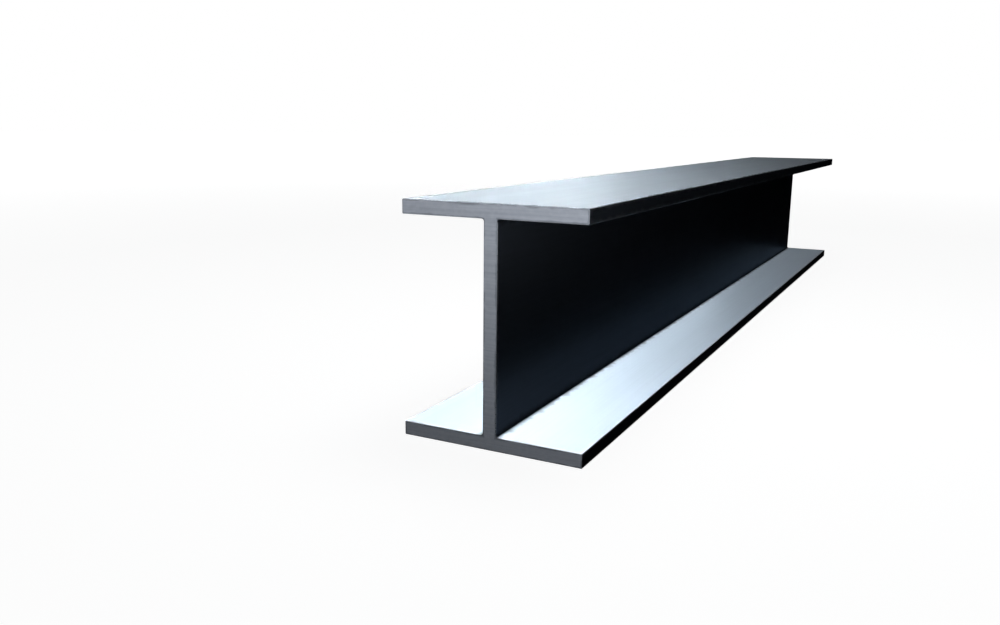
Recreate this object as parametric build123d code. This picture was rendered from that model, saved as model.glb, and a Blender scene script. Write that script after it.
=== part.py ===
from build123d import *
import os

# A cut length of steel H-beam: one web between two wide, parallel flanges, sawn square at both
# ends. The beam lies on its lower flange. X runs across the flanges, Y along the beam and Z up
# through the depth of the section. The origin is the middle of the underside, and lengths are in
# millimetres.

# The section, measured over its outside faces
section_depth = 320.0
flange_width = 260.0
flange_thickness = 20.0
web_thickness = 20.0

# Rounding of the section: the inside corners beside the web, and the tips of the flanges
root_radius = 3.0
toe_radius = 1.5

# The piece as it is cut
beam_length = 2120.0
end_edge_break = 1.0  # sharp edge dressed off all round each sawn end

# A corner counts as lying on a plane when it is this near to it
same_place = 0.01


def corners_on_planes(corners, distance):
    """The corners of the section that lie this far from its middle plane, on either side of it."""
    return [corner for corner in corners if abs(abs(corner.X) - distance) < same_place]


def beam_section():
    """The H as one upright face: two flanges and a web, with rounded roots and toes."""
    lower_flange_middle = flange_thickness / 2
    upper_flange_middle = section_depth - flange_thickness / 2
    web_height = upper_flange_middle - lower_flange_middle  # laps into the middle of each flange

    with BuildSketch(Plane.XZ) as section:
        with Locations((0, lower_flange_middle), (0, upper_flange_middle)):
            Rectangle(flange_width, flange_thickness)
        with Locations((0, section_depth / 2)):
            Rectangle(web_thickness, web_height)
        fillet(corners_on_planes(section.vertices(), web_thickness / 2), root_radius)
        fillet(corners_on_planes(section.vertices(), flange_width / 2), toe_radius)
    return section.sketch


def rolled_beam():
    """The section carried half the beam's length each way from the origin, with dressed ends."""
    beam = extrude(beam_section(), amount=beam_length / 2, both=True)
    sawn_ends = beam.faces().filter_by(Axis.Y)
    return chamfer(sawn_ends.edges(), end_edge_break)


def main():
    os.makedirs("parts", exist_ok=True)
    beam = rolled_beam()
    beam.label = "h_beam"
    export_step(beam, "parts/h_beam.step")

    size = beam.bounding_box().size
    litres = beam.volume / 1e6
    print(f"h_beam: {size.X:.1f} x {size.Y:.1f} x {size.Z:.1f} mm, {litres:.3f} litres of steel")


main()
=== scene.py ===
# %% [markdown]
# # A length of steel H-beam
# This lesson dresses one cut length of H-beam for a product picture. The real beam is a single
# piece of rolled steel: two wide flanges joined by a web as thick as they are, sawn square at both
# ends. There is nothing on it to hide behind, so the picture stands or falls on three things: an
# exact section with its small roundings, a finish that reads as bare steel, and light that
# separates the flat faces from each other.
#
# The construction model comes first. It is loaded as a fixed frame, in metres, with X across the
# flanges, Y along the beam and Z up. Everything made here sits inside its box.

# %% Load the frame
import math

import bpy
import numpy as np
from mathutils import Matrix, Vector


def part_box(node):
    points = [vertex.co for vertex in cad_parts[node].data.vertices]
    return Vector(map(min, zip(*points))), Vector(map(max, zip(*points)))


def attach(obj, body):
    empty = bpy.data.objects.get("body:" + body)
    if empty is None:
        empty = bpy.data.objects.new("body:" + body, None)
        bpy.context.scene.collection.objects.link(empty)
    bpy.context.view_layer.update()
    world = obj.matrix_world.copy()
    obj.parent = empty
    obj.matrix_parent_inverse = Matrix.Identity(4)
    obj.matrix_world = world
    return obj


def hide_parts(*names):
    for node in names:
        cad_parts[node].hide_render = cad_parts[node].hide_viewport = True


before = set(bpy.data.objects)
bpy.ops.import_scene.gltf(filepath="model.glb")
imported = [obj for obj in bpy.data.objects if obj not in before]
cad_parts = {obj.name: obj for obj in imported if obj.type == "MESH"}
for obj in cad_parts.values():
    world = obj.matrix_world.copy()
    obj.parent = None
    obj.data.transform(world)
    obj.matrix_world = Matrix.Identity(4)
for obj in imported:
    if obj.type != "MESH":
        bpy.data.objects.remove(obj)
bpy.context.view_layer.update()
beam_low, beam_high = (np.array(corner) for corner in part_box("h_beam"))
flange_width, beam_length, section_depth = beam_high - beam_low
print(f"section {section_depth:.3f} x {flange_width:.3f} m, length {beam_length:.3f} m")

# %% [markdown]
# ## The camera
# The camera stands in front of one sawn end, a little to the right and just above the top flange.
# From there the top is seen at a very flat angle, one channel shows down its whole length, and the
# far end shrinks to a third of the near one. At so flat an angle a camera that is set by eye shows
# the top too wide or too narrow, so its place and turns were worked out from the beam's straight
# edges. A camera object looks along its own minus Z, so it is tipped up by a right angle less its
# tilt, then turned about the upright axis. A last small roll about its own line of sight matches a
# camera that was not held quite level.

# %% Place the camera
camera_place = (0.5033, -1.9986, 0.4100)
camera_turn = math.radians(27.524)
camera_tilt = math.radians(12.005)
camera_roll = math.radians(0.517)
lens_length_mm = 31.294
sensor_width_mm = 36.0

camera_data = bpy.data.cameras.new("camera")
camera_data.sensor_width = sensor_width_mm
camera_data.lens = lens_length_mm
camera = bpy.data.objects.new("camera", camera_data)
turned = Matrix.Rotation(camera_turn, 4, "Z")
tipped = Matrix.Rotation(math.radians(90) - camera_tilt, 4, "X")
rolled = Matrix.Rotation(camera_roll, 4, "Z")
camera.matrix_world = Matrix.Translation(camera_place) @ turned @ tipped @ rolled
bpy.context.scene.collection.objects.link(camera)
bpy.context.scene.camera = camera
print(f"camera {camera_place[2] - section_depth:.3f} m above the top flange")

# %% [markdown]
# ## The section's outline
# Rolling leaves no sharp corner on a beam. The inside corners beside the web have a root radius,
# and the flange tips, or toes, are slightly rounded. An outline with those arcs is only twelve
# corners and a radius for each, so it is written that way and the arcs are worked out. A Bevel
# modifier on a sharp H could round it too, but here roots and toes differ in size, and the arcs
# also give the true normals that a later step needs.
#
# For a right-angled corner P that is reached in direction a and left in direction b, the arc's
# centre is P - r a + r b. The point at turn t, from 0 to 90 degrees, is the centre minus
# r cos(t) b plus r sin(t) a, and the direction of travel there is cos(t) a + sin(t) b. The same
# two formulas serve outward and inward corners.

# %% Twelve corners and their radii
flange_thickness = 0.020
web_thickness = 0.020
root_radius = 0.003
toe_radius = 0.0015

half_width = flange_width / 2
half_web = web_thickness / 2
lower_inside = flange_thickness
upper_inside = section_depth - flange_thickness
right_corners = [
    (half_width, 0, toe_radius),
    (half_width, lower_inside, toe_radius),
    (half_web, lower_inside, root_radius),
    (half_web, upper_inside, root_radius),
    (half_width, upper_inside, toe_radius),
    (half_width, section_depth, toe_radius),
]
left_corners = [(-x, z, radius) for x, z, radius in reversed(right_corners)]
corner_table = np.array(right_corners + left_corners)
root_count = np.count_nonzero(corner_table[:, 2] == root_radius)
print(f"{len(corner_table)} corners, {root_count} of them roots")

# %% Round the corners
arc_steps = 4


def rounded_corners(corners, radii):
    """Replaces each corner by arc_steps + 1 points on its arc.

    Returns the points and the unit directions of travel, in order round the outline, by the
    formulas of the note above. It works on all the corners at once.
    """
    arriving = corners - np.roll(corners, 1, axis=0)
    arriving /= np.linalg.norm(arriving, axis=1, keepdims=True)
    leaving = np.roll(arriving, -1, axis=0)
    radius = radii[:, None]
    centres = corners - radius * arriving + radius * leaving
    turn = np.linspace(0, math.pi / 2, arc_steps + 1)[None, :, None]
    inward, onward = leaving[:, None], arriving[:, None]
    points = centres[:, None] + radius[:, None] * (np.sin(turn) * onward - np.cos(turn) * inward)
    travel = np.cos(turn) * onward + np.sin(turn) * inward
    return points.reshape(-1, 2), travel.reshape(-1, 2)


arc_points, arc_travel = rounded_corners(corner_table[:, :2], corner_table[:, 2])
print(f"{len(arc_points)} points on the arcs")

# %% [markdown]
# The straight runs between the arcs are divided too, because the finished faces are very slightly
# uneven. A run from length p to length q is cut in n parts at p + (q - p)(1 - cos(180 k / n)) / 2,
# which packs the cuts closer towards the corners, where the eye looks for roundness. Even cuts
# would need many more points for corners as good.

# %% Divide the flats
flat_spacing = 0.014


def eased_cuts(knots, spacing):
    """Cuts each gap between knots into parts no longer than about spacing, finer near its ends.

    Part k of n starts at the gap's start plus the gap times (1 - cos(180 degrees x k / n)) / 2.
    The last knot isn't repeated.
    """
    gaps = np.diff(knots)
    parts = np.maximum(1, np.ceil(gaps / spacing)).astype(int)
    first = np.cumsum(parts) - parts
    step = np.arange(parts.sum()) - np.repeat(first, parts)
    share = (1 - np.cos(math.pi * step / np.repeat(parts, parts))) / 2
    return np.repeat(knots[:-1], parts) + share * np.repeat(gaps, parts)


closed_points = np.vstack([arc_points, arc_points[:1]])
closed_travel = np.vstack([arc_travel, arc_travel[:1]])
steps = np.linalg.norm(np.diff(closed_points, axis=0), axis=1)
girth = np.concatenate([[0.0], np.cumsum(steps)])
girth_cuts = eased_cuts(girth, flat_spacing)
outline_x, outline_z = (np.interp(girth_cuts, girth, closed_points[:, k]) for k in (0, 1))
travel_x, travel_z = (np.interp(girth_cuts, girth, closed_travel[:, k]) for k in (0, 1))
print(f"outline of {len(girth_cuts)} points, {girth[-1]:.3f} m round")

# %% [markdown]
# ## Along the beam
# The profile is carried along Y. At each sawn end the edge has been dressed with a file or a
# grinder, so the last few stations draw in on a quarter circle: at angle t they stand
# e sin(t) further along and the outline has shrunk by e (1 - cos(t)), for an edge break e.
# The normals turn from sideways to endways by the same angle. A plain extrusion would be quicker,
# but its end would be a knife edge, which no light catches.

# %% Stations from end to end
edge_break = 0.001
edge_steps = 3
station_spacing = 0.024

edge_turn = np.linspace(0, math.pi / 2, edge_steps + 1)[1:]
plain_half = beam_length / 2 - edge_break
plain = eased_cuts(np.array([-plain_half, plain_half]), station_spacing)
plain = np.append(plain, plain_half)
break_along = plain_half + edge_break * np.sin(edge_turn)
break_inset = edge_break * (1 - np.cos(edge_turn))
station_y = np.concatenate([-break_along[::-1], plain, break_along])
station_inset = np.concatenate([break_inset[::-1], np.zeros(len(plain)), break_inset])
station_turn = np.concatenate([-edge_turn[::-1], np.zeros(len(plain)), edge_turn])
print(f"{len(station_y)} stations from {station_y[0]:.3f} to {station_y[-1]:.3f} m")

# %% [markdown]
# ## Not quite flat
# A mirror-flat plane looks like a drawing. Rolled faces swell and dip by a few tenths of a
# millimetre over half a metre, which is enough to bend a reflection that is seen at a flat angle.
# A bump texture could bend the reflections too, but not the outline against the light, so the
# faces themselves are moved. The dip is the mean of long sine waves through space,
# w = A (1 + mean of sin(k . P + p)) / 2, always inwards so that the beam never outgrows its real
# size. Its slope is the like mean of cosines, so the normals are corrected exactly rather than
# guessed from the mesh.

# %% Long, shallow waves
dip_depth = 0.0004
wave_count = 7
wave_lengths = (0.35, 1.3)
wave_seed = 11
waves = np.random.default_rng(wave_seed)

wave_directions = waves.normal(size=(wave_count, 3))
wave_directions /= np.linalg.norm(wave_directions, axis=1, keepdims=True)
wave_numbers = wave_directions * (2 * math.pi / waves.uniform(*wave_lengths, (wave_count, 1)))
wave_phases = waves.uniform(0, 2 * math.pi, wave_count)


def rolling_dip(points):
    """How far each point lies under the true plane, in metres, and the slope of that dip.

    The dip is A (1 + mean of sin(k . P + p)) / 2, between nothing and A, and its slope is
    A (mean of k cos(k . P + p)) / 2.
    """
    angles = points @ wave_numbers.T + wave_phases
    dip = dip_depth * (1 + np.sin(angles).mean(axis=-1)) / 2
    slope = dip_depth * (np.cos(angles) @ wave_numbers) / (2 * wave_count)
    return dip, slope


probe_dips = rolling_dip(np.array([[0.0, y, section_depth] for y in (-1.0, -0.5, 0.0, 0.5, 1.0)]))[0]
print("dips along the top, in mm:", np.round(probe_dips * 1000, 2))

# %% [markdown]
# ## Carrying the profile along the path
# Points come out as one array of stations by outline points. Faces are found by counting: the
# quad at station j and outline point i joins j, i to j + 1, i + 1, and the outline closes on
# itself by rolling the row of numbers round by one. Each sawn end is one flat face with the whole
# outline for its rim. Blender could find smooth normals by itself, but it would round the flats
# too. Here each corner is given the normal that its formula says.

# %% Points and normals
along = station_y[:, None]
out_x, out_z = travel_z[None, :], -travel_x[None, :]
length_of_out = np.hypot(out_x, out_z)
out_x, out_z = out_x / length_of_out, out_z / length_of_out
shrunk = station_inset[:, None]
point_x = outline_x[None, :] - shrunk * out_x
point_z = outline_z[None, :] - shrunk * out_z
grid = np.stack(np.broadcast_arrays(point_x, along, point_z), axis=-1)
sideways, endways = np.cos(station_turn)[:, None], np.sin(station_turn)[:, None]
normals = np.stack(np.broadcast_arrays(out_x * sideways, endways, out_z * sideways), axis=-1)

dip, slope = rolling_dip(grid)
in_plane = normals * np.array([1, 0, 1])
grid = grid - dip[..., None] * in_plane
normals = normals + slope - (slope * normals).sum(-1, keepdims=True) * normals
normals /= np.linalg.norm(normals, axis=-1, keepdims=True)
print(f"grid of {grid.shape[0]} x {grid.shape[1]} points")

# %% Faces by counting
station_count, outline_count = grid.shape[:2]
index = np.arange(station_count * outline_count).reshape(station_count, outline_count)
beside = np.roll(index, -1, axis=1)
quads = np.stack([index[:-1], index[1:], beside[1:], beside[:-1]], axis=-1).reshape(-1, 4)
near_rim = index[0]
far_rim = index[-1][::-1]

corner_points = np.concatenate([quads.ravel(), near_rim, far_rim])
face_sizes = np.concatenate([np.full(len(quads), 4), [outline_count, outline_count]])
face_starts = np.cumsum(face_sizes) - face_sizes
print(f"{len(quads)} quads and 2 end faces")

# %% Build the mesh
mesh = bpy.data.meshes.new("h_beam_steel")
mesh.vertices.add(grid.size // 3)
mesh.vertices.foreach_set("co", grid.astype(np.float32).ravel())
mesh.loops.add(len(corner_points))
mesh.loops.foreach_set("vertex_index", corner_points.astype(np.int32))
mesh.polygons.add(len(face_sizes))
mesh.polygons.foreach_set("loop_start", face_starts.astype(np.int32))
mesh.update(calc_edges=True)
mesh.validate()

corner_normals = normals.reshape(-1, 3)[corner_points]
corner_normals[-2 * outline_count:-outline_count] = (0, -1, 0)
corner_normals[-outline_count:] = (0, 1, 0)
mesh.shade_smooth()
mesh.normals_split_custom_set(corner_normals)

beam = bpy.data.objects.new("h_beam_steel", mesh)
bpy.context.scene.collection.objects.link(beam)
print(f"{beam.name}: {len(mesh.vertices)} points, {len(mesh.polygons)} faces")

# %% [markdown]
# ## What the finish needs to know
# A beam isn't one grey all round here. The inner faces of the flanges are painted the lightest
# grey, which is painted light, and the outer ones a duller grey. The web and the flange edges are
# darker, partly the dark blue grey skin of the mill and partly painted shade on faces that look
# sideways. A band along the outer edges is lighter, partly rubbed bright by handling and partly a
# painted highlight, and the inside corners are darkened with painted shade. So the finish needs
# three things from the shape: which way a face lies, how far it is to an outer edge, and how far
# it is to a root.
#
# The outline knows all three. The way a face lies is the upright part of its normal, given the
# sign of the side of the section's middle that it is on: 1 faces the other flange, -1 faces away
# from it, and 0 is the web or an edge. The distances are differences of lengths round the
# section, or of places along the beam. All three are kept on the mesh as attributes, which a
# material reads at any point. Painting such masks by hand would take longer and fit worse.

# %% Values kept on the mesh
arc_middles = girth[:-1].reshape(-1, arc_steps + 1).mean(axis=1)
is_root = corner_table[:, 2] == root_radius


def round_distance(middles):
    """The shortest way round the section from every outline point to any of these places."""
    apart = np.abs(girth_cuts[:, None] - middles[None, :])
    return np.minimum(apart, girth[-1] - apart).min(axis=1)


def keep_attribute(name, values):
    """Stores one number for each point of the beam's mesh."""
    attribute = mesh.attributes.new(name, "FLOAT", "POINT")
    attribute.data.foreach_set("value", values.astype(np.float32).ravel())
    print(f"{name}: {values.min():.4f} to {values.max():.4f}")


def along_beam(values):
    """Repeats what is known round the outline at every station."""
    return np.broadcast_to(values[None, :], grid.shape[:2])


to_end = beam_length / 2 - np.abs(grid[..., 1])
keep_attribute("edge_distance", np.minimum(along_beam(round_distance(arc_middles[~is_root])), to_end))
keep_attribute("root_distance", along_beam(round_distance(arc_middles[is_root])))
# Which way a face lies also decides where painted light and painted shade go on the flanges and the
# web.
to_middle = np.sign(section_depth / 2 - outline_z)
keep_attribute("facing", along_beam(out_z[0] * to_middle))

# %% [markdown]
# ## Finish: what bare steel looks like
# Steel that comes cold and clean from the mill is a satin, slightly blue grey. Seen close, it has
# fine streaks along the direction of rolling and a slow drift of tone. Its edges here carry a
# brighter line, partly rubbed wear and partly a painted highlight. Rolled faces and sawn ends share
# those effects, so each effect is a node group that is built once and then placed in each
# material with its own values. A copy of the nodes in each material would do the same, but a change
# would have to be made in all of them.
# A small set of helpers keeps the node work readable.

# %% Helpers for nodes


def new_group(name, inputs, outputs):
    """An empty shader node group with named float or vector sockets, and its two end nodes."""
    group = bpy.data.node_groups.new(name, "ShaderNodeTree")
    for socket_name, kind, value in inputs:
        socket = group.interface.new_socket(socket_name, in_out="INPUT", socket_type=kind)
        if value is not None:
            socket.default_value = value
    for socket_name, kind in outputs:
        group.interface.new_socket(socket_name, in_out="OUTPUT", socket_type=kind)
    return group, group.nodes.new("NodeGroupInput"), group.nodes.new("NodeGroupOutput")


def add_node(tree, kind, links=None, **settings):
    """A new node. Settings that name a socket set it, others set the node's own properties.

    links maps a socket's name or number to the output that feeds it.
    """
    node = tree.nodes.new(kind)
    for key, value in settings.items():
        if hasattr(node, key):
            setattr(node, key, value)
        else:
            node.inputs[key.replace("_", " ")].default_value = value
    for key, source in (links or {}).items():
        tree.links.new(source, node.inputs[key])
    return node


def maths(tree, operation, first, second=0.5, third=0.5):
    """One Math node. Each argument is a number or an output."""
    node = tree.nodes.new("ShaderNodeMath")
    node.operation = operation
    for socket, value in zip(node.inputs, (first, second, third)):
        if isinstance(value, bpy.types.NodeSocket):
            tree.links.new(value, socket)
        else:
            socket.default_value = value
    return node.outputs[0]


def remap(tree, value, low, high, new_low=0.0, new_high=1.0):
    """Takes low..high to new_low..new_high in a straight line, and holds it there outside."""
    node = add_node(tree, "ShaderNodeMapRange", {"Value": value})
    numbers = {"From Min": low, "From Max": high, "To Min": new_low, "To Max": new_high}
    for name, number in numbers.items():
        node.inputs[name].default_value = number
    return node.outputs["Result"]


print("helpers ready")

# %% [markdown]
# ### Streaks from the rolls
# A noise that is stretched along the beam turns into streaks. The stretch is simply a
# multiplication of the coordinates before the noise reads them: large numbers across the grain
# make it fine, a small one along it makes it long. A noise seldom strays far from its middle, so
# its middle part is spread over the whole range from 0 to 1.
#
# One grain never looks like metal. A finish adds up several, from fine to broad, each with its
# share of the tone.

# %% Group: stretched grain
noise_low, noise_high = 0.28, 0.72

grain_group, group_in, group_out = new_group(
    "stretched grain",
    [("Place", "NodeSocketVector", None), ("Fineness", "NodeSocketVector", (1, 1, 1)),
     ("Detail", "NodeSocketFloat", 3.0)],
    [("Grain", "NodeSocketFloat")],
)
stretched = add_node(grain_group, "ShaderNodeVectorMath", operation="MULTIPLY")
grain_group.links.new(group_in.outputs["Place"], stretched.inputs[0])
grain_group.links.new(group_in.outputs["Fineness"], stretched.inputs[1])
streak_noise = add_node(grain_group, "ShaderNodeTexNoise", {"Vector": stretched.outputs[0]}, Scale=1.0)
grain_group.links.new(group_in.outputs["Detail"], streak_noise.inputs["Detail"])
streaks = remap(grain_group, streak_noise.outputs["Fac"], noise_low, noise_high)
grain_group.links.new(streaks, group_out.inputs["Grain"])
print("stretched grain: one noise, any direction")

# %% [markdown]
# ### Bands along the edges
# Three things keep to the edges of this beam: a lighter band on its outer edges, partly rubbed
# wear and partly a painted highlight, painted shade in its inside corners, and a darker band round
# the rim of each sawn end. All are one mask, strongest on the line and gone after a few
# millimetres. Its reach is multiplied by a noise, so that the band comes and goes instead of being
# a drawn line.

# %% Group: edge band
patch_scale = 55.0
patch_low, patch_high = 0.3, 0.7
least_reach, most_reach = 0.35, 1.5

band_group, group_in, group_out = new_group(
    "edge band",
    [("Place", "NodeSocketVector", None), ("Distance", "NodeSocketFloat", 1.0),
     ("Reach", "NodeSocketFloat", 0.004)],
    [("Mask", "NodeSocketFloat")],
)
patches = add_node(
    band_group, "ShaderNodeTexNoise", {"Vector": group_in.outputs["Place"]},
    Scale=patch_scale, Detail=4.0,
)
ragged = remap(band_group, patches.outputs["Fac"], patch_low, patch_high, least_reach, most_reach)
reach = maths(band_group, "MULTIPLY", group_in.outputs["Reach"], ragged)
gone = maths(band_group, "DIVIDE", group_in.outputs["Distance"], reach)
left_over = maths(band_group, "SUBTRACT", 1.0, gone)
band_group.links.new(maths(band_group, "MAXIMUM", left_over, 0.0), group_out.inputs["Mask"])
print("edge band: strongest on the edge, ragged where it ends")

# %% [markdown]
# ### The finishes
# Clean steel has no coat over it: its colour is the colour of its reflections, so every finish
# here is metal. Any metal turns into a mirror when it is seen at a grazing angle, and the picture
# sees the top and the web so. The shader's Specular Tint says how pale that mirror is. The
# flanges keep it nearly white. On the web and the edges it is dulled, partly for the mill's skin
# and partly as painted shade on the faces that look sideways. A second material for the skin and
# its painted shade is needed for that alone, because a tint has to be one colour all over to
# survive an export. The flanges are set a little short of full metal, as steel with a thin dull
# film is.
#
# The streaks work through the tone, which runs each colour from dark to light and makes the dark
# places a little rougher. The inner faces are rougher than the outer ones, which spreads their
# highlights. The sawn ends are a coarser, darker satin with the saw's lines straight across.

# %% Colours of rolled steel
# The skin greys are partly the mill's dark skin and partly painted shade: the web and the flange
# edges, which face sideways, are made darker than the flanges.
skin_and_shade_dark, skin_and_shade_light = (0.092, 0.106, 0.134, 1), (0.135, 0.156, 0.197, 1)
# Painted light: the inner greys are lighter than the outer ones, so the flanges' inner faces look more
# brightly lit.
outer_dark, outer_light = (0.243, 0.276, 0.309, 1), (0.295, 0.334, 0.375, 1)
inner_dark, inner_light = (0.480, 0.560, 0.640, 1), (0.562, 0.655, 0.750, 1)
# A painted highlight, partly rubbed wear: the lighter grey along the outer edges.
edge_wear_and_highlight = (0.68, 0.73, 0.79, 1)
# Painted shade: the dark grey in the inside corners beside the web.
corner_painted_shade = (0.045, 0.050, 0.060, 1)
# The skin's duller grazing tint is partly the mill's skin and partly painted shade on the web and the
# edges.
skin_and_shade_grazing, flange_grazing = (0.44, 0.50, 0.56, 1), (0.83, 0.92, 1.00, 1)
print("three pairs of greys, a rubbed edge, a dark corner and two grazing tints")

# %% Helpers for materials


def start_material(name):
    """A material with a bare Principled shader. Returns it with its tree, shader and Object place."""
    material = bpy.data.materials.new(name)
    material.use_nodes = True
    tree = material.node_tree
    tree.nodes.clear()
    shader = tree.nodes.new("ShaderNodeBsdfPrincipled")
    output = tree.nodes.new("ShaderNodeOutputMaterial")
    tree.links.new(shader.outputs["BSDF"], output.inputs["Surface"])
    place = tree.nodes.new("ShaderNodeTexCoord").outputs["Object"]
    return material, tree, shader, place


def place_group(tree, group, links, **values):
    """Puts a node group into a material with its own values. Returns its first output."""
    node = tree.nodes.new("ShaderNodeGroup")
    node.node_tree = group
    for name, source in links.items():
        tree.links.new(source, node.inputs[name])
    for name, value in values.items():
        node.inputs[name].default_value = value
    return node.outputs[0]


def layered_tone(tree, place, layers):
    """Adds up grains of several sizes. Returns the tone, about 0 to 1, and the first grain.

    Each layer is its fineness along X, Y and Z, its detail and its share of the tone.
    """
    grains = [
        place_group(tree, grain_group, {"Place": place}, Fineness=fineness, Detail=detail)
        for fineness, detail, share in layers
    ]
    tone = 0.0
    for grain, (fineness, detail, share) in zip(grains, layers):
        tone = maths(tree, "MULTIPLY_ADD", grain, share, tone)
    return tone, grains[0]


def mix_colours(tree, share, first, second):
    """One colour run into another by a share from 0 to 1. Colours are values or outputs."""
    node = tree.nodes.new("ShaderNodeMix")
    node.data_type = "RGBA"
    tree.links.new(share, node.inputs["Factor"])
    for name, value in (("A", first), ("B", second)):
        socket = next(s for s in node.inputs if s.name == name and s.type == "RGBA")
        if isinstance(value, bpy.types.NodeSocket):
            tree.links.new(value, socket)
        else:
            socket.default_value = value
    return next(s for s in node.outputs if s.type == "RGBA")


print("a material starts as one bare shader")

# %% Values of rolled steel
rolled_layers = (  # each one's fineness along X, Y and Z, its detail, its share of the tone
    ((420, 5, 420), 3.0, 0.30),
    ((26, 0.9, 26), 2.0, 0.35),
    ((7, 3.2, 7), 5.0, 0.35),
)
face_starts_at, face_full_at = 0.75, 1.0
# The wear and highlight band is partly rubbed wear and partly a painted highlight along the edges.
wear_and_highlight_reach, wear_and_highlight_off_flanges = 0.0055, 0.3
# How far the painted shade reaches out from the inside corners.
painted_shade_reach = 0.009
tone_low, tone_high = 0.2, 0.8  # the roughness runs between these tones
rough_where_dark, rough_where_light = 0.32, 0.28
rougher_inside = 0.08
smoother_rubbed = 0.04
flange_metal = 0.85
grain_strength, grain_depth = 0.2, 0.00006
print(f"{len(rolled_layers)} grains, roughness {rough_where_light} to {rough_where_dark}")

# %% Material: rolled steel


def rolled_finish(name, grazing_tint):
    """Rolled steel with every effect on it, and its own tint for light at grazing angles."""
    material, tree, shader, place = start_material(name)
    tone, fine_grain = layered_tone(tree, place, rolled_layers)
    to_edge, to_root, facing = (
        add_node(tree, "ShaderNodeAttribute", attribute_name=kept).outputs["Fac"]
        for kept in ("edge_distance", "root_distance", "facing")
    )
    is_inner = remap(tree, facing, face_starts_at, face_full_at)
    is_outer = remap(tree, facing, -face_starts_at, -face_full_at)
    is_flange = maths(tree, "MAXIMUM", is_outer, is_inner)
    # Painted highlight along the outer edges, partly rubbed wear, weaker on the web and the edges.
    wear_and_highlight = place_group(tree, band_group, {"Place": place, "Distance": to_edge}, Reach=wear_and_highlight_reach)
    wear_and_highlight = maths(tree, "MULTIPLY", wear_and_highlight, remap(tree, is_flange, 0.0, 1.0, wear_and_highlight_off_flanges, 1.0))
    # Painted shade in the inside corners, strongest at the roots.
    painted_shade = place_group(tree, band_group, {"Place": place, "Distance": to_root}, Reach=painted_shade_reach)

    # Painted shade: the web and the edges take the darker skin greys, partly the mill's skin.
    skin_and_shade_colour = mix_colours(tree, tone, skin_and_shade_dark, skin_and_shade_light)
    outer_colour = mix_colours(tree, tone, outer_dark, outer_light)
    # Painted light: the inner faces take lighter greys than the outer faces.
    inner_colour = mix_colours(tree, tone, inner_dark, inner_light)
    colour = mix_colours(tree, is_outer, skin_and_shade_colour, outer_colour)
    colour = mix_colours(tree, is_inner, colour, inner_colour)
    colour = mix_colours(tree, wear_and_highlight, colour, edge_wear_and_highlight)
    colour = mix_colours(tree, painted_shade, colour, corner_painted_shade)
    tree.links.new(colour, shader.inputs["Base Color"])

    rough = remap(tree, tone, tone_low, tone_high, rough_where_dark, rough_where_light)
    rough = maths(tree, "MULTIPLY_ADD", is_inner, rougher_inside, rough)
    rough = maths(tree, "MULTIPLY_ADD", wear_and_highlight, -smoother_rubbed, rough)
    tree.links.new(rough, shader.inputs["Roughness"])
    tree.links.new(remap(tree, is_flange, 0.0, 1.0, 1.0, flange_metal), shader.inputs["Metallic"])
    shader.inputs["Specular Tint"].default_value = grazing_tint

    bump = add_node(
        tree, "ShaderNodeBump", {"Height": fine_grain}, Strength=grain_strength, Distance=grain_depth
    )
    tree.links.new(bump.outputs["Normal"], shader.inputs["Normal"])
    print(f"{name}: {len(tree.nodes)} nodes")
    return material


flange_steel = rolled_finish("rolled flange steel", flange_grazing)
# The second copy is the mill skin with painted shade, for the web and the flange edges.
skin_and_shade_steel = rolled_finish("mill skin and painted shade steel", skin_and_shade_grazing)

# %% [markdown]
# ### Sawn ends
# An end face has points only on its rim, so the distance to the rim can't be kept on the mesh.
# The material works it out from the place instead. With X the distance from the middle plane and
# Z the distance from the middle height, a point is inside the H's outer box by the smaller of
# half the width less X and half the depth less Z. It is inside the H's own legs by the larger of
# Z less the clear half height (it is in a flange) and half the web less X (it is in the web). The
# smaller of those two is the distance to the nearest edge. An end full of points could keep it on
# the mesh too, but the formula is exact everywhere.
#
# A saw's teeth leave lines straight across, so the grain is fine upwards and long sideways.

# %% Values of sawn steel
sawn_layers = (
    ((6, 6, 330), 2.0, 0.45),
    ((5, 5, 90), 3.0, 0.30),
    ((160, 160, 160), 4.0, 0.25),
)
sawn_rough_dark, sawn_rough_light = 0.56, 0.46
# How far the darker band reaches in from the rim of a sawn end.
rim_band_reach = 0.0032
saw_strength, saw_depth = 0.5, 0.0001
sawn_dark, sawn_light = (0.222, 0.242, 0.278, 1), (0.325, 0.352, 0.402, 1)
rim_band_dark = (0.085, 0.095, 0.115, 1)
print(f"{len(sawn_layers)} grains, roughness {sawn_rough_light} to {sawn_rough_dark}")

# %% Distance to the rim of an end


def distance_to_rim(tree, place):
    """How far a point of the H is from its nearest edge, by the formula of the note above."""
    apart = add_node(tree, "ShaderNodeSeparateXYZ", {0: place})
    height = maths(tree, "SUBTRACT", apart.outputs["Z"], section_depth / 2)
    aside, from_middle = maths(tree, "ABSOLUTE", apart.outputs["X"]), maths(tree, "ABSOLUTE", height)
    inside_width = maths(tree, "SUBTRACT", half_width, aside)
    inside_depth = maths(tree, "SUBTRACT", section_depth / 2, from_middle)
    inside_flange = maths(tree, "SUBTRACT", from_middle, clear_half_height)
    inside_web = maths(tree, "SUBTRACT", half_web, aside)
    inside_box = maths(tree, "MINIMUM", inside_width, inside_depth)
    inside_legs = maths(tree, "MAXIMUM", inside_flange, inside_web)
    return maths(tree, "MINIMUM", inside_box, inside_legs)


clear_half_height = section_depth / 2 - flange_thickness
print(f"flanges start {clear_half_height:.3f} m from the middle height")

# %% Material: sawn steel
sawn_steel, tree, shader, place = start_material("sawn steel")
rim_distance = distance_to_rim(tree, place)
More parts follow.
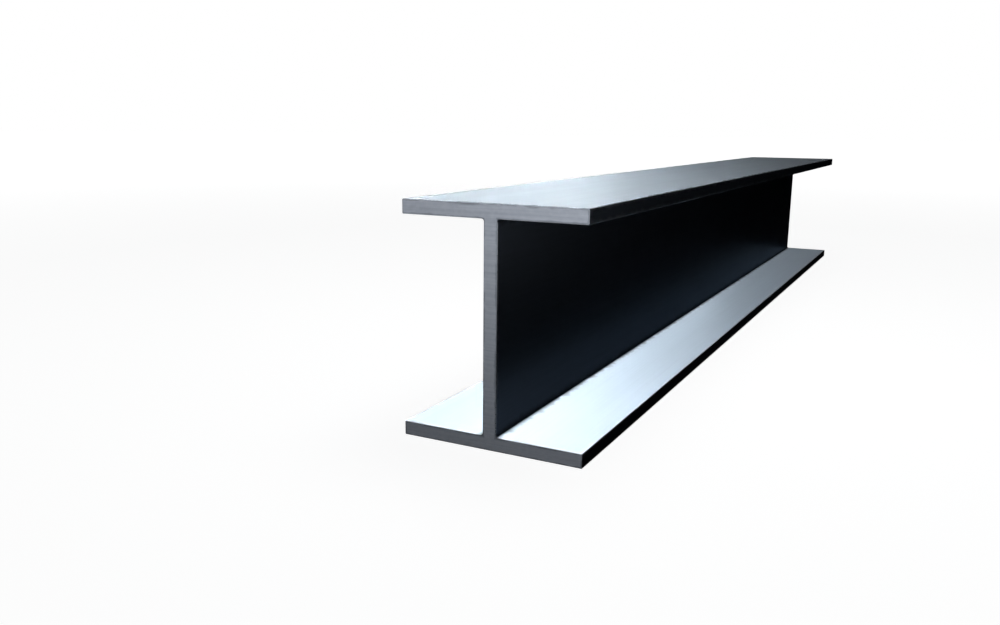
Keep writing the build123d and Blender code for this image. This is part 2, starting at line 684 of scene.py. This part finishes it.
# A darker band round the rim of each sawn end.
rim_band = place_group(tree, band_group, {"Place": place, "Distance": rim_distance}, Reach=rim_band_reach)
tone = layered_tone(tree, place, sawn_layers)[0]
colour = mix_colours(tree, tone, sawn_dark, sawn_light)
colour = mix_colours(tree, rim_band, colour, rim_band_dark)
tree.links.new(colour, shader.inputs["Base Color"])
rough = remap(tree, tone, tone_low, tone_high, sawn_rough_dark, sawn_rough_light)
tree.links.new(rough, shader.inputs["Roughness"])
shader.inputs["Metallic"].default_value = 1.0
bump = add_node(tree, "ShaderNodeBump", {"Height": tone}, Strength=saw_strength, Distance=saw_depth)
tree.links.new(bump.outputs["Normal"], shader.inputs["Normal"])
print("sawn steel:", len(tree.nodes), "nodes")

# %% [markdown]
# ### Which face takes which
# A quad takes the flange's finish where the outline's normal is more upright than level, and the
# skin's finish, darker with painted shade, on the web and the flange edges. The two are nearly
# alike at that line, because it falls in the middle of the small arcs, where neither is a flange's
# face yet. The two end faces are sawn.

# %% Put the finishes on
for finish in (flange_steel, skin_and_shade_steel, sawn_steel):
    mesh.materials.append(finish)
flange_slot, skin_and_shade_slot, sawn_slot = range(3)
halfway_upright = 0.5
upright = (np.abs(out_z[0]) + np.abs(np.roll(out_z[0], -1))) / 2
# The skin slot carries the painted shade of the web and the flange edges.
slot_of_strip = np.where(upright > halfway_upright, flange_slot, skin_and_shade_slot)
slot_of_quad = np.tile(slot_of_strip, station_count - 1)
slot_of_face = np.concatenate([slot_of_quad, [sawn_slot, sawn_slot]])
mesh.polygons.foreach_set("material_index", slot_of_face.astype(np.int32))

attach(beam, "root")
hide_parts("h_beam")
print("h_beam_steel stands for h_beam")

# %% [markdown]
# ## The stage
# The beam lies on a plain pale floor against white. The floor's paleness comes from its own
# material: rays from the camera, and those that metal reflects, see it nearly white, while the
# light it throws back on the beam stays as low as a grey floor's. What the lamps add is the
# difference between floor in the open and floor in the beam's shadow. Stronger lamps would make a
# grey floor white as well, but they would burn out the steel.

# %% Floor
floor_half = 40.0
floor_drop = 0.0003


def flat_card(name, corners):
    """One four-cornered card of the stage, given its corners in order."""
    card_mesh = bpy.data.meshes.new(name)
    card_mesh.from_pydata([tuple(c) for c in corners], [], [(0, 1, 2, 3)])
    card = bpy.data.objects.new(name, card_mesh)
    bpy.context.scene.collection.objects.link(card)
    return card


floor = flat_card(
    "floor",
    [(-floor_half, -floor_half, -floor_drop), (floor_half, -floor_half, -floor_drop),
     (floor_half, floor_half, -floor_drop), (-floor_half, floor_half, -floor_drop)],
)


def seen_directly(tree):
    """1 for rays from the camera, off a mirror or through glass, and 0 for light's other paths."""
    path = tree.nodes.new("ShaderNodeLightPath")
    direct = maths(tree, "MAXIMUM", path.outputs["Is Camera Ray"], path.outputs["Is Glossy Ray"])
    return maths(tree, "MAXIMUM", direct, path.outputs["Is Transmission Ray"])


floor_colour = (0.30, 0.30, 0.30, 1)
floor_paleness_near = 0.90
floor_near, floor_far = 2.0, 7.0
floor_material = bpy.data.materials.new("pale floor")
floor_material.use_nodes = True
tree = floor_material.node_tree
tree.nodes.clear()
matt = add_node(tree, "ShaderNodeBsdfDiffuse", Color=floor_colour)
floor_place = tree.nodes.new("ShaderNodeTexCoord").outputs["Object"]
far_out = add_node(tree, "ShaderNodeVectorMath", {0: floor_place}, operation="LENGTH").outputs["Value"]
paleness = remap(tree, far_out, floor_near, floor_far, floor_paleness_near, 1.0)
shown = maths(tree, "MULTIPLY", seen_directly(tree), paleness)
pale = add_node(tree, "ShaderNodeEmission", {"Strength": shown})
both = add_node(tree, "ShaderNodeAddShader", {0: matt.outputs[0], 1: pale.outputs[0]})
add_node(tree, "ShaderNodeOutputMaterial", {"Surface": both.outputs[0]})
floor.data.materials.append(floor_material)
print("floor ready")

# %% [markdown]
# ### Black cards
# Bare metal has no brightness of its own, it shows its surroundings. In an all-white room an
# H-beam would be white all round and its shape would be lost. A product photographer stands
# black cards where the metal looks, just outside the picture. The ones here are seen in
# reflections alone: they neither show in the picture nor take light from the lamps.

# %% Black cards
card_height = -floor_drop / 2
card_tuck = 0.002
black = bpy.data.materials.new("black card")
black.use_nodes = True
tree = black.node_tree
tree.nodes.clear()
no_light = add_node(tree, "ShaderNodeEmission", Color=(0, 0, 0, 1), Strength=0.0)
add_node(tree, "ShaderNodeOutputMaterial", {"Surface": no_light.outputs[0]})


def black_card(name, corners):
    """A card of the stage that only reflections see."""
    card = flat_card(name, corners)
    card.data.materials.append(black)
    card.visible_camera = False
    card.visible_diffuse = False
    card.visible_transmission = False
    card.visible_volume_scatter = False
    card.visible_shadow = False
    return card


def floor_card(name, left, right, near, far):
    """A black card that lies on the floor."""
    corners = [(left, near), (right, near), (right, far), (left, far)]
    return black_card(name, [(x, y, card_height) for x, y in corners])


past_side = half_width - card_tuck
past_end = beam_length / 2 - card_tuck
left_edge, right_edge = -3.2, 5.0
back_line, back_height = 1.6, 2.0
side_reach, side_far = 1.4, 3.2
front_left, front_right, front_line = -0.7, 2.4, -2.4

floor_card("right_floor_card", past_side, side_reach, -past_end, side_far)
floor_card("front_floor_card", front_left, front_right, front_line, -past_end)
floor_card("back_floor_card", left_edge, past_side, past_end, back_line)
back_corners = [(left_edge, 0), (right_edge, 0), (right_edge, back_height), (left_edge, back_height)]
black_card("back_card", [(x, back_line, z) for x, z in back_corners])
print("cards ready")

# %% [markdown]
# ### White surround
# The backdrop is the world, white for the camera and for reflections as the floor is. It is white
# only up to a slant, and above that it darkens as a studio's ceiling does, so that an upright look
# down on the top flange isn't a look into a white sky. All other light meets a dim grey world.

# %% World
ambient_colour, ambient_strength = (0.95, 0.98, 1, 1), 0.15
backdrop_top, ceiling_start = 0.42, 0.80  # sines of the angles above the horizon
ceiling_shade = 0.06
world = bpy.data.worlds.new("white surround")
bpy.context.scene.world = world
world.use_nodes = True
tree = world.node_tree
tree.nodes.clear()
direction = tree.nodes.new("ShaderNodeTexCoord").outputs["Generated"]
height = add_node(tree, "ShaderNodeSeparateXYZ", {0: direction}).outputs["Z"]
backdrop = remap(tree, height, backdrop_top, ceiling_start, 1.0, ceiling_shade)
white = add_node(tree, "ShaderNodeBackground", {"Strength": backdrop}, Color=(1, 1, 1, 1))
ambient = add_node(tree, "ShaderNodeBackground", Color=ambient_colour, Strength=ambient_strength)
either = {0: seen_directly(tree), 1: ambient.outputs[0], 2: white.outputs[0]}
chosen = add_node(tree, "ShaderNodeMixShader", either)
add_node(tree, "ShaderNodeOutputWorld", {"Surface": chosen.outputs[0]})
print("world ready")

# %% [markdown]
# ### Lamps
# The key hangs above and gives the floor its soft shadow. The fill stands in front for the sawn
# end, and is kept off the floor. The others are sheens: large and weak, they hang behind the beam,
# where a flange seen at a flat angle mirrors them, and give its faces their run from pale to dark.
# One small sheen stands lower than the top flange, so that it brightens the middle of the lower
# flange alone.
#
# The light of a sheen passes through the web to reach the lower flange in the right channel, as if
# a row of small lamps stood there, and it is kept off the floor. The first is a lamp's shadow
# setting, and the second is light linking: a lamp with a receiver collection lights only what is
# in it. Lamps in the channel itself would do without either, but each would show as a spot in the
# bright steel. Rays that leave the steel look for lamps too, and those do stop at the web. So
# sheens are left out of that search, which is what multiple importance sampling is.

# %% Helpers for lamps
only_beam = bpy.data.collections.new("lit without the floor")
only_beam.objects.link(beam)
sheen_size = 2.2
far_end = (0, beam_length / 2, 0.2)


def soft_box(name, place, aim, size, power):
    """A square area lamp at a place, turned to face the aim. Returns it."""
    lamp_data = bpy.data.lights.new(name, "AREA")
    lamp_data.size = size
    lamp_data.energy = power
    lamp = bpy.data.objects.new(name, lamp_data)
    turned = (Vector(place) - Vector(aim)).to_track_quat("Z", "Y").to_matrix().to_4x4()
    lamp.matrix_world = Matrix.Translation(place) @ turned
    bpy.context.scene.collection.objects.link(lamp)
    print(f"{name}: {size} m square, {power} W")
    return lamp


def sheen(name, place, power, size=sheen_size, aim=far_end):
    """A lamp that lights the beam alone, through its own web."""
    lamp = soft_box(name, place, aim, size, power)
    lamp.data.use_shadow = False
    lamp.data.cycles.use_multiple_importance_sampling = False
    lamp.light_linking.receiver_collection = only_beam


print(f"a sheen is {sheen_size} m square and faces {far_end[1]:.2f} m along the beam")

# %% Lamps
soft_box("key", (0.1, -0.5, 1.5), aim=(0, -0.4, 0.2), size=0.8, power=6.0)
end_fill = soft_box("end_fill", (0.05, -3.0, 0.8), aim=(0, -1.0, 0.2), size=0.6, power=20.0)
end_fill.light_linking.receiver_collection = only_beam
sheen("near_sheen", (-0.8, 1.2, 1.4), power=13.0)
sheen("over_sheen", (-0.8, 1.2, 2.0), power=5.0)
sheen("high_sheen", (-1.4, 2.2, 2.0), power=20.0)
sheen("far_sheen", (-1.4, 3.2, 2.0), power=3.0)
sheen("low_sheen", (-2.0, 2.2, 0.8), power=9.5)
sheen("channel_sheen", (-0.4, 1.25, 0.16), power=0.28, size=0.26, aim=(0.07, 0.1, 0.02))

# %% [markdown]
# ## Colour
# The Standard view shows each colour as it was written, where Blender's usual view bends bright
# colours towards white.

# %% Finish
bpy.context.scene.view_settings.view_transform = "Standard"
